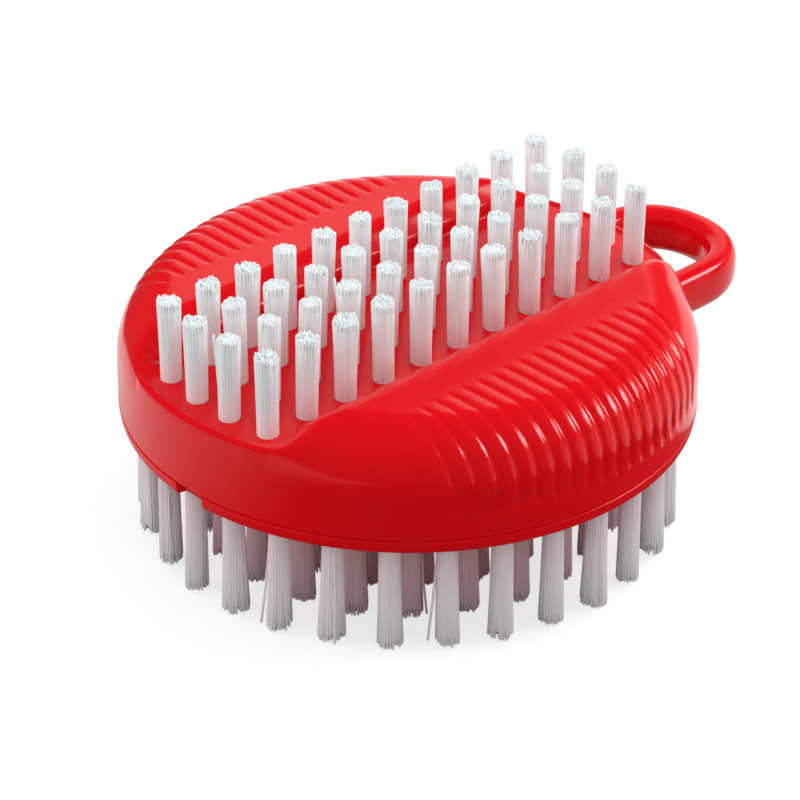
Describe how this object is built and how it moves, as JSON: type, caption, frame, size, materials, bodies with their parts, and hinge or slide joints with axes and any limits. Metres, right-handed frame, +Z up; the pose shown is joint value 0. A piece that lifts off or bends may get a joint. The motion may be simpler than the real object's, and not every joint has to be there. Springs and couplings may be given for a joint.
{
  "type": "nail brush",
  "caption": "Round two-sided nail brush: rows of short tufts in a channel between ribbed grip flanges, rings of longer tufts below, and a flat hanging loop.",
  "frame": {"origin": "on the round body's axis, at the tips of the lower bristles that the brush stands on", "axes": "+Z up towards the short top tufts, +X along the channel towards the hanging loop"},
  "size_m": [0.0884, 0.0706, 0.0362],
  "materials": {
    "red_plastic": "glossy injection-moulded red",
    "bristle_white": "translucent white filament"
  },
  "bodies": {
    "root": {"upper_body": "red_plastic", "base_plate": "red_plastic", "top_row_1": "bristle_white", "top_row_2": "bristle_white", "top_row_3": "bristle_white", "top_row_4": "bristle_white", "lower_ring_1": "bristle_white", "lower_ring_2": "bristle_white", "lower_ring_3": "bristle_white", "lower_ring_4": "bristle_white", "lower_ring_5": "bristle_white"}
  },
  "joints": []
}
